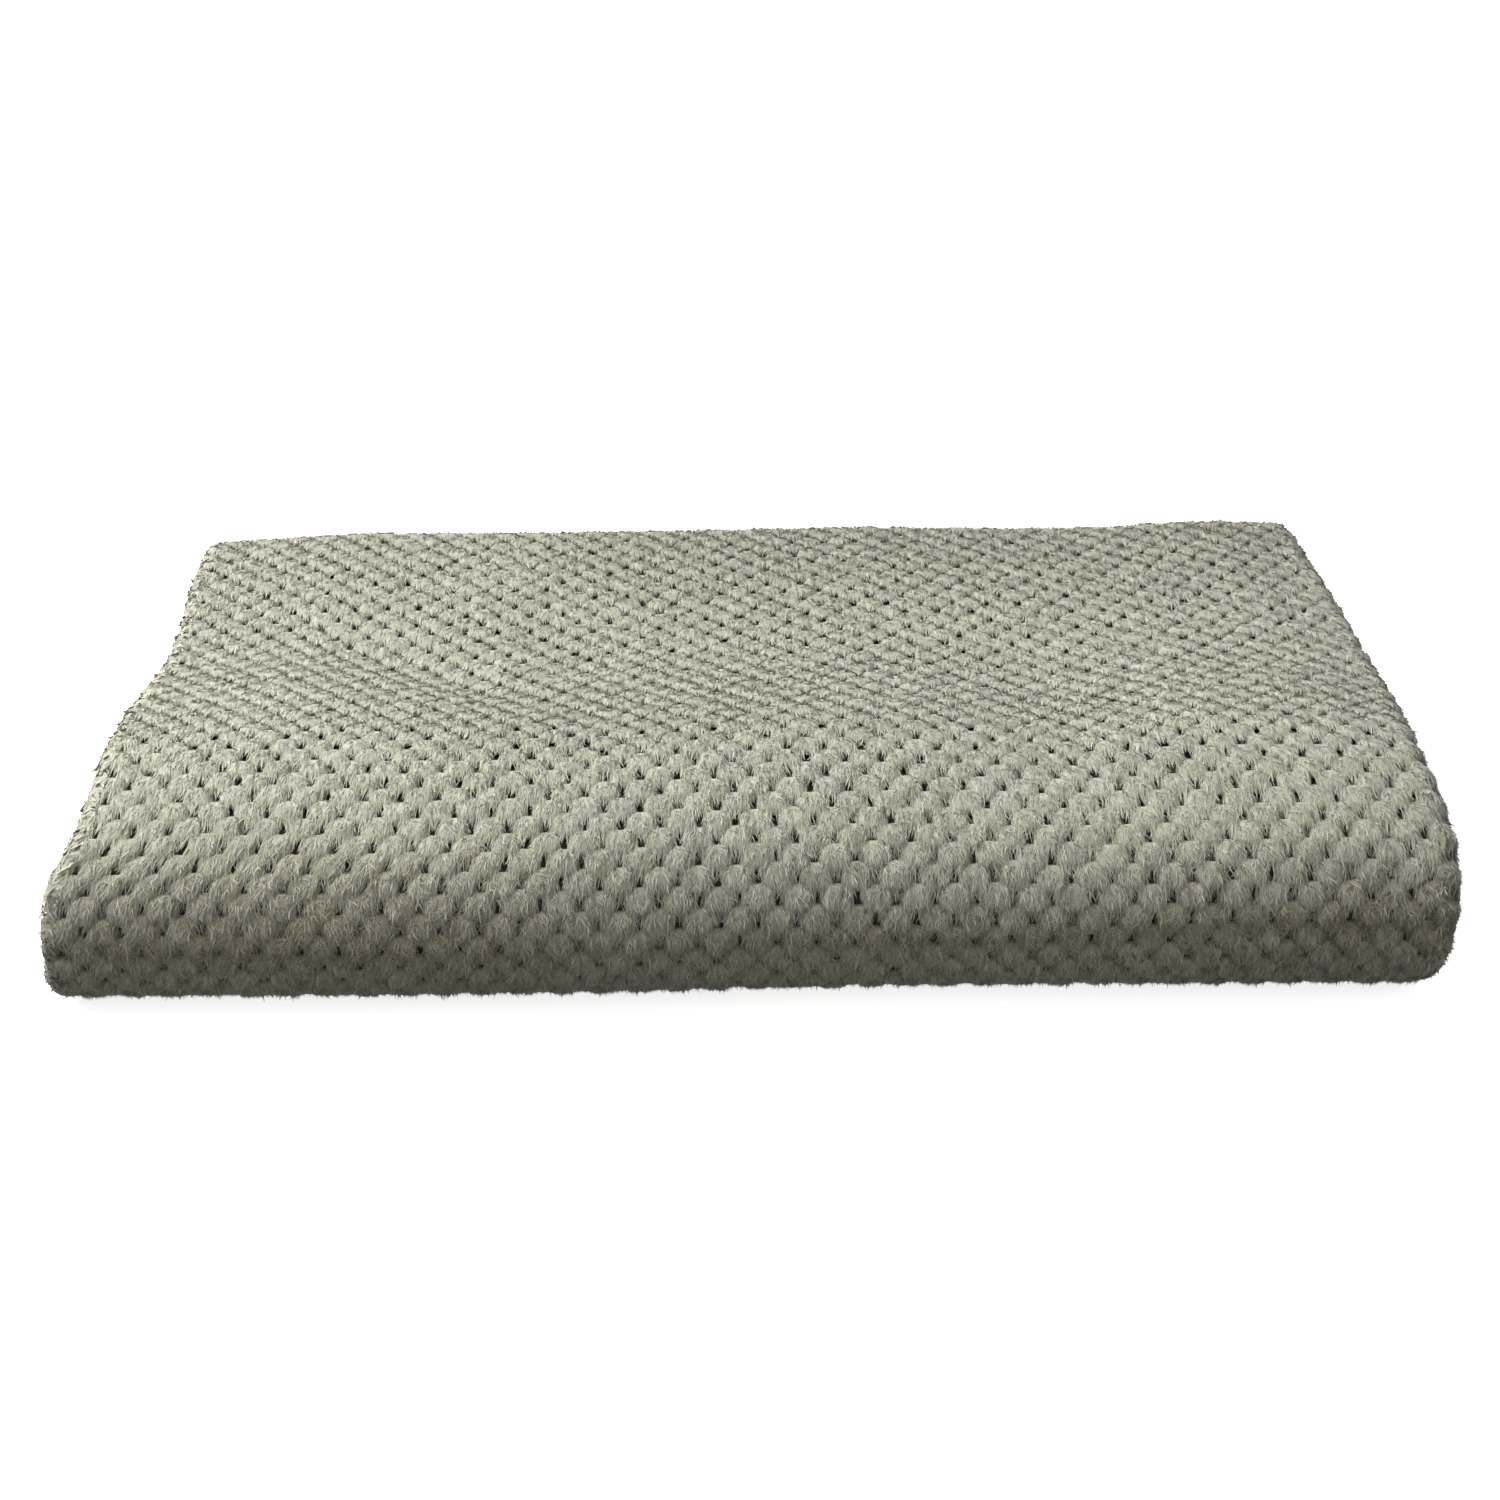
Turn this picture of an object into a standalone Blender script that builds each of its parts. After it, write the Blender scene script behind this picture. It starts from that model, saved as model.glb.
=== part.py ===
"""A fleece throw folded into a flat stack of twelve plies.

The cloth is folded in thirds across its width, which makes a strip of three plies: the centre ply on
the outside, the left third folded over it, and the right third folded over both. Both ends of the
strip are then folded to its middle, and the strip is closed at the middle like a book. The fold of
the book is at the front and wraps the whole stack. The two folds of the ends are at the back.

Every piece is swept along the strip. A section point is (x, n), where n is the distance in from the
strip's outer face, and a station of the path is a point (y, z) of that face with its inward normal.

The free end of the lower half lies just inside the front fold. The upper half's ends further back, so
the top slopes down over it to a rounded nose.

The front fold turns at two lines on the outer face. The low one is halfway round the bottom bend, and
the high one is where the nose meets the slope. The pieces on the two sides of a line are cut on the
plane through it, and the lines are placed so that the opened stack lies flat.

Units are metres, +Z is up, the front is -Y and the origin is the middle of the footprint.
"""

import math

import bmesh
import bpy

# Driving dimensions of the folded stack
WIDTH = 0.420  # left fold to right fold
DEPTH = 0.290  # front fold to back folds
PLY = 0.0058  # one ply of the cloth, its pile pressed by the stack
GAP = 0.0003  # clearance between surfaces that touch
FOLD_INSIDE = 0.0105  # inner radius of the front fold's bottom bend
SLOPE = math.radians(30)  # the top's slope where the nose ends
POCKET = 0.0113  # from the inside of the front fold to the free end of the lower half

# Hems, seams and label
HEM_WIDTH = 0.012
THREAD = 0.0006  # seam thread, across
LABEL_WIDTH = 0.032
LABEL_LENGTH = 0.045
LABEL_THICKNESS = 0.0004
LABEL_INSET = 0.060  # from the right side of the stack to the label

# Facets in a quarter turn
BEND_STEPS = 6
SIDE_STEPS = 4

# The strip and the stack
PANEL = 3 * PLY + 2 * GAP
HALF = 2 * PANEL + GAP
BETWEEN_HALVES = LABEL_THICKNESS + 2 * GAP
HEIGHT = 2 * HALF + BETWEEN_HALVES
FRONT = -DEPTH / 2
BACK = DEPTH / 2
BACK_BEND = HALF / 2

# The front fold's outline: a bottom bend, a nose, and a shoulder that runs out into the flat top
LOW_BEND = PANEL + FOLD_INSIDE
NOSE = (HEIGHT - LOW_BEND) / (1 - math.sin(SLOPE) + math.cos(SLOPE))
SHOULDER = NOSE * (1 - math.sin(SLOPE)) / (1 - math.cos(SLOPE))
HIGH_TURN = 180 - math.degrees(SLOPE)

# The hinge lines of the front fold, at 45 degrees and HIGH_TURN from straight down
LOW_INSET = LOW_BEND * (1 - math.cos(math.pi / 4))
LOW_HINGE = (0.0, FRONT + LOW_INSET, LOW_INSET)
HIGH_HINGE = (0.0, FRONT + NOSE * (1 - math.sin(SLOPE)), LOW_BEND + NOSE * math.cos(SLOPE))

# Where the shoulder ends, and the free ends of the strip in the two halves
FLAT_TOP = HIGH_HINGE[1] + SHOULDER * math.sin(SLOPE)
LOWER_END = FRONT + PANEL + POCKET
UPPER_END = FLAT_TOP + GAP

# Across the strip: the centres of its two side folds, and their radii
LEFT_RADIUS = PLY + GAP / 2
RIGHT_RADIUS = PANEL / 2
LEFT_TURN = -WIDTH / 2 + LEFT_RADIUS
RIGHT_TURN = WIDTH / 2 - RIGHT_RADIUS

# Through the strip: where each ply starts
CENTRE_PLY = 0.0
LEFT_PLY = PLY + GAP
RIGHT_PLY = 2 * (PLY + GAP)

PILE_COLOUR = (0.39, 0.38, 0.31, 1)
HEM_COLOUR = (0.30, 0.28, 0.22, 1)
THREAD_COLOUR = (0.45, 0.43, 0.36, 1)
LABEL_COLOUR = (0.80, 0.79, 0.75, 1)


def clear_scene():
    for thing in list(bpy.data.objects):
        bpy.data.objects.remove(thing)


def new_material(name, colour, roughness):
    material = bpy.data.materials.new(name)
    material.use_nodes = True
    shader = material.node_tree.nodes["Principled BSDF"]
    shader.inputs["Base Color"].default_value = colour
    shader.inputs["Roughness"].default_value = roughness
    shader.inputs["Metallic"].default_value = 0.0
    return material


def straight(start, end, face_z, up):
    """A flat run of the strip from y = start to y = end, its inward normal up (1) or down (-1)."""
    return [(start, face_z, 0.0, up), (end, face_z, 0.0, up)]


def bend(centre_y, centre_z, radius, first, last, forward=True):
    """An arc of the outer face. Angles are in degrees from straight down, round the front or the back."""
    side = -1 if forward else 1
    steps = max(1, round(BEND_STEPS * abs(last - first) / 90))
    stations = []
    for step in range(steps + 1):
        angle = math.radians(first + (last - first) * step / steps)
        away_y, away_z = side * math.sin(angle), -math.cos(angle)
        stations.append((centre_y + radius * away_y, centre_z + radius * away_z, -away_y, -away_z))
    return stations


def cut_back(station, way):
    """The station moved half a clearance along the outer face, on (1) or back (-1) along the path."""
    y, z, normal_y, normal_z = station
    return (y - way * normal_z * GAP / 2, z + way * normal_y * GAP / 2, normal_y, normal_z)


def mirrored(stations):
    return [(y, HEIGHT - z, normal_y, -normal_z) for y, z, normal_y, normal_z in stations]


def bottom_path():
    """The bottom panel, from the back fold to the low hinge line."""
    stations = straight(BACK - BACK_BEND - GAP, FRONT + LOW_BEND + GAP, 0.0, 1.0)
    stations += bend(FRONT + LOW_BEND, LOW_BEND, LOW_BEND, 0, 45)
    stations[-1] = cut_back(stations[-1], -1)
    return stations


def front_path():
    """The front fold: up the bottom bend from the low hinge line, and round the nose to the high one."""
    stations = bend(FRONT + LOW_BEND, LOW_BEND, LOW_BEND, 45, 90)
    stations[0] = cut_back(stations[0], 1)
    stations += bend(FRONT + NOSE, LOW_BEND, NOSE, 90, HIGH_TURN)[1:]
    stations[-1] = cut_back(stations[-1], -1)
    return stations


def top_path():
    """The top panel, from the back fold along the flat and down the shoulder to the high hinge line."""
    shoulder = bend(FLAT_TOP, HEIGHT - SHOULDER, SHOULDER, HIGH_TURN, 180)
    shoulder[0] = cut_back(shoulder[0], 1)
    return straight(BACK - BACK_BEND - GAP, FLAT_TOP + GAP, HEIGHT, -1.0) + shoulder[::-1]


def lower_back_path():
    """The lower of the two back folds, from the bottom panel round to the one on it."""
    return bend(BACK - BACK_BEND, BACK_BEND, BACK_BEND, 0, 180, forward=False)


def upper_back_path():
    return mirrored(lower_back_path())


def lower_inner_path(end):
    """The panel that lies on the bottom one, from the back fold to y = end."""
    return straight(BACK - BACK_BEND - GAP, end, HALF, -1.0)


def upper_inner_path(end):
    """The panel that lies under the top one, from the back fold to y = end."""
    return mirrored(lower_inner_path(end))


def box_section(x_low, x_high, n_low, n_high):
    return [(x_low, n_low), (x_high, n_low), (x_high, n_high), (x_low, n_high)]


def side_fold_section(turn_x, radius, side):
    """Half a ring, one ply thick, round (turn_x, radius). side is -1 for the left and 1 for the right."""
    count = 2 * SIDE_STEPS
    angles = [math.pi * step / count for step in range(count + 1)]
    outer = [(turn_x + side * radius * math.sin(a), radius - radius * math.cos(a)) for a in angles]
    hollow = radius - PLY
    inner = [(turn_x + side * hollow * math.sin(a), radius - hollow * math.cos(a)) for a in angles]
    return outer + inner[::-1]


def ply_sections():
    """The five pieces across the strip, by name."""
    first = LEFT_TURN + GAP
    last = RIGHT_TURN - GAP
    return {
        "centre_ply": box_section(first, last, CENTRE_PLY, CENTRE_PLY + PLY),
        "left_fold": side_fold_section(LEFT_TURN, LEFT_RADIUS, -1),
        "left_ply": box_section(first, last - HEM_WIDTH, LEFT_PLY, LEFT_PLY + PLY),
        "right_fold": side_fold_section(RIGHT_TURN, RIGHT_RADIUS, 1),
        "right_ply": box_section(first + HEM_WIDTH, last, RIGHT_PLY, RIGHT_PLY + PLY),
    }


def long_hem_sections():
    """The hems on the free edges of the two folded thirds, and the seams that hold them."""
    seam_left = RIGHT_TURN - HEM_WIDTH / 2
    seam_right = LEFT_TURN + HEM_WIDTH / 2
    under_seam = THREAD + GAP
    return {
        "left_ply_hem": box_section(
            RIGHT_TURN - HEM_WIDTH, RIGHT_TURN, LEFT_PLY + under_seam, LEFT_PLY + PLY
        ),
        "right_ply_hem": box_section(
            LEFT_TURN, LEFT_TURN + HEM_WIDTH, RIGHT_PLY + under_seam, RIGHT_PLY + PLY
        ),
        "left_ply_seam": box_section(seam_left, seam_left + THREAD, LEFT_PLY, LEFT_PLY + THREAD),
        "right_ply_seam": box_section(
            seam_right, seam_right + THREAD, RIGHT_PLY, RIGHT_PLY + THREAD
        ),
    }


def sweep(name, section, stations, material, carrier):
    """One closed solid: the section carried along the stations, with a face on each end."""
    shape = bmesh.new()
    rings = []
    for y, z, normal_y, normal_z in stations:
        rings.append([shape.verts.new((x, y + n * normal_y, z + n * normal_z)) for x, n in section])
    count = len(section)
    for ring, following in zip(rings, rings[1:]):
        for corner in range(count):
            after = (corner + 1) % count
            shape.faces.new((ring[corner], ring[after], following[after], following[corner]))
    shape.faces.new(rings[0][::-1])
    shape.faces.new(rings[-1])
    bmesh.ops.recalc_face_normals(shape, faces=shape.faces[:])
    mesh = bpy.data.meshes.new(name)
    shape.to_mesh(mesh)
    shape.free()
    mesh.materials.append(material)
    if len(stations) > 2 or count > 4:
        mesh.shade_smooth()
        mesh.set_sharp_from_angle(angle=math.radians(40))
    piece = bpy.data.objects.new(name, mesh)
    bpy.context.scene.collection.objects.link(piece)
    if carrier is not None:
        piece.parent = carrier
        piece.matrix_parent_inverse = carrier.matrix_world.inverted()
    return piece


def hinge_empty(name, place, parent=None):
    """An empty on a hinge line, which carries the pieces that turn about it."""
    empty = bpy.data.objects.new(name, None)
    empty.empty_display_size = 0.02
    bpy.context.scene.collection.objects.link(empty)
    empty.location = place
    if parent is not None:
        empty.parent = parent
        empty.matrix_parent_inverse = parent.matrix_world.inverted()
    bpy.context.view_layer.update()
    return empty


def make_panel(panel, stations, carrier):
    """The five pieces of one stretch of the strip."""
    for piece, section in ply_sections().items():
        name = f"{panel}_{piece}"
        sweep(name, section, stations, new_material(name, PILE_COLOUR, 0.95), carrier)


def make_long_hems(stretch, stations, carrier):
    """The two long hems on one stretch of the strip, and their seams."""
    for piece, section in long_hem_sections().items():
        name = f"{stretch}_{piece}"
        colour = THREAD_COLOUR if piece.endswith("seam") else HEM_COLOUR
        sweep(name, section, stations, new_material(name, colour, 0.9), carrier)


def make_end_hems(half, inner_path, end, carrier):
    """The hem across the free end of each ply of one half, and the seam on the centre ply's."""
    stations = inner_path(end)
    stations[0] = (end + HEM_WIDTH, *stations[0][1:])
    middle = end + HEM_WIDTH / 2
    seam = inner_path(middle)
    seam[0] = (middle + THREAD, *seam[0][1:])
    under_seam = THREAD + GAP
    for piece in ("centre_ply", "left_ply", "right_ply"):
        section = ply_sections()[piece]
        (x_low, n_low), (x_high, n_high) = section[0], section[2]
        name = f"{half}_{piece}_end_hem"
        hem = box_section(x_low, x_high, n_low + under_seam, n_high)
        sweep(name, hem, stations, new_material(name, HEM_COLOUR, 0.9), carrier)
        if piece == "centre_ply":
            name = f"{half}_end_seam"
            thread = box_section(x_low + THREAD, x_high - THREAD, n_low, n_low + THREAD)
            sweep(name, thread, seam, new_material(name, THREAD_COLOUR, 0.9), carrier)


def make_label():
    """The blank care label on the lower half, flat between the halves, and the thread at its edge."""
    right = WIDTH / 2 - LABEL_INSET
    front = LOWER_END + HEM_WIDTH + GAP
    top = HALF + GAP + LABEL_THICKNESS
    label = box_section(right - LABEL_WIDTH, right, 0.0, LABEL_THICKNESS)
    material = new_material("care_label", LABEL_COLOUR, 0.6)
    sweep("care_label", label, straight(front + LABEL_LENGTH, front, top, -1.0), material, None)
    stitch_end = front - GAP
    material = new_material("care_label_thread", THREAD_COLOUR, 0.9)
    sweep(
        "care_label_thread",
        label,
        straight(stitch_end, stitch_end - THREAD, top, -1.0),
        material,
        None,
    )


def make_half(half, outer, paths, end, carrier):
    """The outer panel, the back fold, the inner panel and the hems of one half of the stack."""
    outer_path, back_path, inner_path = paths
    make_panel(outer, outer_path(), carrier)
    make_panel(f"{half}_back", back_path(), carrier)
    make_panel(f"{half}_inner", inner_path(end + HEM_WIDTH + GAP), carrier)
    whole = inner_path(end)[::-1] + back_path()[::-1] + outer_path()
    make_long_hems(half, whole, carrier)
    make_end_hems(half, inner_path, end, carrier)


def build():
    clear_scene()
    front_hinge = hinge_empty("front_fold_hinge", LOW_HINGE)
    top_hinge = hinge_empty("upper_half_hinge", HIGH_HINGE, front_hinge)
    lower_paths = (bottom_path, lower_back_path, lower_inner_path)
    upper_paths = (top_path, upper_back_path, upper_inner_path)
    make_half("lower", "bottom", lower_paths, LOWER_END, None)
    make_half("upper", "top", upper_paths, UPPER_END, top_hinge)
    make_panel("front", front_path(), front_hinge)
    make_long_hems("front", front_path(), front_hinge)
    make_label()


build()
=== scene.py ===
"""Folded fleece throw: its cloth, pile, hems, seams and label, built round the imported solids.

One cloth is folded in thirds across its width into a strip of three plies. The strip runs, seen from the
side, along the lower inner panel, round the lower back fold, along the bottom, up the front fold, along
the top, round the upper back fold and along the upper inner panel.

A point of the cloth has three coordinates: u across the cloth, s along the strip's outer face, and lift,
the distance from the knitted ground towards the pile side. Every piece is made in these coordinates and
carried into space by one function, so the pile turns with the folds.
"""

import math

import bmesh
import bpy
import numpy as np
from mathutils import Matrix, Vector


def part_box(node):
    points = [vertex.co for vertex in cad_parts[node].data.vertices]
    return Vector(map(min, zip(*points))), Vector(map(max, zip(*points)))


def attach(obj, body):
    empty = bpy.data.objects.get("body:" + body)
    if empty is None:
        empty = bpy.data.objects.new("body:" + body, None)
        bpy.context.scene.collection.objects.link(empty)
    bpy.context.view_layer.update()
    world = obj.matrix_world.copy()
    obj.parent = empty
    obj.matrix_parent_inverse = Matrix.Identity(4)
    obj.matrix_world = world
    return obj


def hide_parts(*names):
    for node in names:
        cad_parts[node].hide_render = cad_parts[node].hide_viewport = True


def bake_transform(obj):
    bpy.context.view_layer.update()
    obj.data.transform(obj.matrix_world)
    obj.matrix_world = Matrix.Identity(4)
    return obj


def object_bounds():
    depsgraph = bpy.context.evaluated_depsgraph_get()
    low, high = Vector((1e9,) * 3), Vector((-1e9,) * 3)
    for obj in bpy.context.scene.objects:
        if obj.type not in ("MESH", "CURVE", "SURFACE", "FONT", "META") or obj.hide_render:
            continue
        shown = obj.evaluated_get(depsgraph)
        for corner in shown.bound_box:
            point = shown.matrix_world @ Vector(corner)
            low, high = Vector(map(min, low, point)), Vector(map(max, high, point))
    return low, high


bl_info = {
    "name": "Folded Fleece Throw",
    "version": (1, 0, 0),
    "blender": (4, 5, 0),
    "location": "View3D > Sidebar > Throw",
    "description": "Builds the cloth, pile, hems, seams and label of a folded fleece throw",
    "category": "Object",
}

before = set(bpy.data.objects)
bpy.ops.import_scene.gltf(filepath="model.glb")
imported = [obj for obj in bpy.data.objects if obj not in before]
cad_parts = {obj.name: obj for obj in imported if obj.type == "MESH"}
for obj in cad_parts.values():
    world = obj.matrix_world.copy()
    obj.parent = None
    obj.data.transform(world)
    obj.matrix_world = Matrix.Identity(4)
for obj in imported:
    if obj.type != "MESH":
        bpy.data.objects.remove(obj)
CAD_BOX = [list(corner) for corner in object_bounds()]

# The folded stack, as the solids have it
FRONT = CAD_BOX[0][1]
BACK = CAD_BOX[1][1]
WIDTH = CAD_BOX[1][0] - CAD_BOX[0][0]
PLY = 0.0058
GAP = 0.0003
FOLD_INSIDE = 0.0105
SLOPE = math.radians(30)
POCKET = 0.0113
LABEL_THICKNESS = 0.0004
PANEL = 3 * PLY + 2 * GAP
HALF = 2 * PANEL + GAP
HEIGHT = 2 * HALF + LABEL_THICKNESS + 2 * GAP
BACK_BEND = HALF / 2
LOW_BEND = PANEL + FOLD_INSIDE
NOSE = (HEIGHT - LOW_BEND) / (1 - math.sin(SLOPE) + math.cos(SLOPE))
SHOULDER = NOSE * (1 - math.sin(SLOPE)) / (1 - math.cos(SLOPE))
HIGH_HINGE = np.array(
    [0.0, FRONT + NOSE * (1 - math.sin(SLOPE)), LOW_BEND + NOSE * math.cos(SLOPE)]
)
FLAT_TOP = HIGH_HINGE[1] + SHOULDER * math.sin(SLOPE)
LOWER_END = FRONT + PANEL + POCKET
UPPER_END = FLAT_TOP + GAP
BACK_TURN = BACK - BACK_BEND

# The knitted ground in each ply, as the distance in from the strip's outer face
CENTRE_GROUND = 0.0048
LEFT_GROUND = PLY + GAP + 0.0008
RIGHT_GROUND = 2 * (PLY + GAP) + 0.0008
LEFT_TURN = -WIDTH / 2 + PLY + GAP / 2
RIGHT_TURN = WIDTH / 2 - PANEL / 2
ACROSS = RIGHT_TURN - LEFT_TURN
RIGHT_ROUND = (RIGHT_GROUND - CENTRE_GROUND) / 2
LEFT_ROUND = (LEFT_GROUND - CENTRE_GROUND) / 2

GROUND_THICKNESS = 0.0009
HEM_LIFT = 0.0003
HEM_THICKNESS = 0.0030
PILE_BASE = 0.0002

# Counts: fibres on a tuft, triangles of a tuft, and the most triangles given to one piece
FREE_FIBRES = 230
PRESSED_FIBRES = 45
TUFT_TRIANGLES = 58
PIECE_TRIANGLES = 190000

# The stage
CAMERA_PLACE = (0.0, FRONT - 0.647, 0.3294)
CAMERA_PITCH = math.radians(90 - 20.5)
CAMERA_ROLL = math.radians(-0.75)
SENSOR_WIDTH = 36
LENS = SENSOR_WIDTH * 2408 / 1500
SOFTBOX_PLACE = (-1.05, 0.32, 1.3)
SOFTBOX_SIZE = (1.6, 1.2)
SOFTBOX_POWER = 54
FLOOR_GLOW = 0.80
FLOOR_RINGS = (0.0001, 0.4, 1.0, 3.0, 8.0, 16.0)

# Runs of the cloth: length, and how sharply it turns to the right, in radians per metre
SECTION_START = (LEFT_TURN, RIGHT_GROUND)
SECTION = np.array(
    [
        (ACROSS, 0.0),
        (math.pi * RIGHT_ROUND, 1 / RIGHT_ROUND),
        (ACROSS, 0.0),
        (math.pi * LEFT_ROUND, 1 / LEFT_ROUND),
        (ACROSS, 0.0),
    ]
)
STRIP_START = (LOWER_END, HALF)
STRIP = np.array(
    [
        (BACK_TURN - LOWER_END, 0.0),
        (math.pi * BACK_BEND, 1 / BACK_BEND),
        (BACK_TURN - FRONT - LOW_BEND, 0.0),
        (math.pi / 2 * LOW_BEND, 1 / LOW_BEND),
        ((math.pi / 2 - SLOPE) * NOSE, 1 / NOSE),
        (SLOPE * SHOULDER, 1 / SHOULDER),
        (BACK_TURN - FLAT_TOP, 0.0),
        (math.pi * BACK_BEND, 1 / BACK_BEND),
        (BACK_TURN - UPPER_END, 0.0),
    ]
)


def run_ends(runs):
    """The distance along the runs at which each starts, and the whole length last."""
    return np.concatenate([[0.0], np.cumsum(runs[:, 0])])


def run_starts(runs, start):
    """The point and heading where each run starts. An arc's chord is its length times the sine of half
    its angle over half its angle, and lies half the angle off the heading."""
    points, headings = [np.array(start)], [0.0]
    for length, turn in runs[:-1]:
        half = turn * length / 2
        chord = length * np.sinc(half / np.pi)
        way = headings[-1] - half
        points.append(points[-1] + chord * np.array([math.cos(way), math.sin(way)]))
        headings.append(headings[-1] - 2 * half)
    return np.array(points), np.array(headings)


SECTION_ENDS = run_ends(SECTION)
STRIP_ENDS = run_ends(STRIP)
SECTION_POINTS, SECTION_HEADINGS = run_starts(SECTION, SECTION_START)
STRIP_POINTS, STRIP_HEADINGS = run_starts(STRIP, STRIP_START)
CLOTH_WIDTH = SECTION_ENDS[-1]
CLOTH_LENGTH = STRIP_ENDS[-1]
CENTRE_FROM, CENTRE_TO = SECTION_ENDS[2], SECTION_ENDS[3]

# Where the strip is divided, so that each part turns about one hinge line at most
LOW_CUT = STRIP_ENDS[3] - 0.014
MIDDLE_CUT = STRIP_ENDS[4] + math.radians(20) * NOSE
HIGH_CUT = STRIP_ENDS[5] + 0.018
PARTS = {
    "lower": (0.0, LOW_CUT),
    "low_fold": (LOW_CUT, MIDDLE_CUT),
    "high_fold": (MIDDLE_CUT, HIGH_CUT),
    "upper": (HIGH_CUT, CLOTH_LENGTH),
}


def follow(runs, ends, points, headings, distance):
    """Points and headings at these distances along runs of straights and arcs, by the chord rule."""
    index = np.clip(np.searchsorted(ends, distance, side="right") - 1, 0, len(runs) - 1)
    along = distance - ends[index]
    half = runs[index, 1] * along / 2
    chord = along * np.sinc(half / np.pi)
    way = headings[index] - half
    first = points[index, 0] + chord * np.cos(way)
    second = points[index, 1] + chord * np.sin(way)
    return first, second, headings[index] - 2 * half


def smooth(value, low, high):
    """0 below low, 1 above high, and three t squared less two t cubed between them."""
    t = np.clip((value - low) / (high - low), 0, 1)
    return t * t * (3 - 2 * t)


def bump(value, centre, reach):
    """A hill of height 1: e to the minus square of the distance from its centre over its reach."""
    return np.exp(-(((value - centre) / reach) ** 2))


def settle(x, y, z):
    """The stack as it has settled. Heights are scaled by a low ridge behind the nose, a valley behind it
    and a rise to the back. The front is drawn in under a crease, and the sides wander a little."""
    back = y - FRONT
    corner = 0.110 + 0.014 * smooth(-x, 0.08, 0.16) - 0.030 * bump(x, 0.10, 0.05)
    corner = corner + 0.045 * smooth(x, 0.12, 0.19)
    rise = -0.035 + corner * smooth(back, 0.155, 0.30)
    rise = rise - 0.060 * bump(back + 0.10 * x, 0.145, 0.055)
    hump = smooth(x, 0.095, 0.145) * (1 - 0.6 * smooth(x, 0.175, 0.21)) - 0.5 * bump(x, 0.085, 0.03)
    rise = rise + 0.050 * hump * bump(back, 0.11, 0.08)
    across = 0.69 * (x + 0.16) + 0.73 * (back - 0.19)
    beside = 0.73 * (x + 0.115) - 0.69 * (back - 0.1475)
    rise = rise - 0.040 * bump(across, 0.0, 0.016) * bump(beside, 0.0, 0.07)
    rise = rise - 0.030 * bump(x, -0.205, 0.03) - 0.020 * bump(x, 0.21, 0.025)
    rise = rise + 0.012 * np.sin(17 * x + 1.1) * smooth(back, 0.02, 0.1)
    rise = rise + 0.010 * np.sin(29 * x - 11 * y)
    z = z * (1 + rise)
    high = z / HEIGHT
    x = x + 0.0012 * np.sin(31 * y + 0.7) * (0.4 + high)
    spread_right = 0.015 + 0.028 * smooth(back, 0.05, 0.12)
    draw_in = high * (0.030 * bump(back, 0.02, 0.06) + 0.018 * bump(back, 0.08, 0.05))
    spread_left = 0.028 * (1 - smooth(high, 0.52, 0.80)) * (1 - smooth(back, 0.10, 0.20))
    spread_left = spread_left + 0.016 * high * smooth(back, 0.14, 0.24)
    x = np.where(x < 0, x * (1 - draw_in + spread_left), x * (1 + spread_right * high))
    crease = crease_height(x)
    near = 1 - smooth(back, 0.008, 0.030)
    under = 0.0010 * (1 - smooth(z, crease - 0.003, crease + 0.0015))
    fold = 0.4 + 0.4 * smooth(x, -0.03, 0.07)
    y = y + near * fold * (under + 0.0012 * bump(z, crease, 0.0026))
    y = y + 0.0010 * np.sin(23 * x + 0.4)
    return x, y, z


def crease_height(x):
    """The height of the crease along the bottom of the front, which climbs to the right."""
    return 0.0225 + 0.0070 * smooth(x, 0.06, 0.16) + 0.0012 * np.sin(26 * x + 0.5)


def cloth_point(u, s, lift):
    """The place in space of cloth coordinates: the section's point, moved towards the pile by lift, is
    carried along the strip at its distance in from the outer face, and then settles."""
    x, depth, heading = follow(SECTION, SECTION_ENDS, SECTION_POINTS, SECTION_HEADINGS, u)
    x = x - np.sin(heading) * lift
    depth = depth + np.cos(heading) * lift
    y, z, heading = follow(STRIP, STRIP_ENDS, STRIP_POINTS, STRIP_HEADINGS, s)
    y = y + np.sin(heading) * depth
    z = z - np.cos(heading) * depth
    return np.stack(settle(x, y, z), axis=-1)


def cloth_grid(u, s, lift):
    """The points in space of arrays of cloth coordinates, and their UV."""
    return cloth_point(u, s, lift).reshape(-1, 3), np.stack([u, s], axis=-1).reshape(-1, 2)


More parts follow.
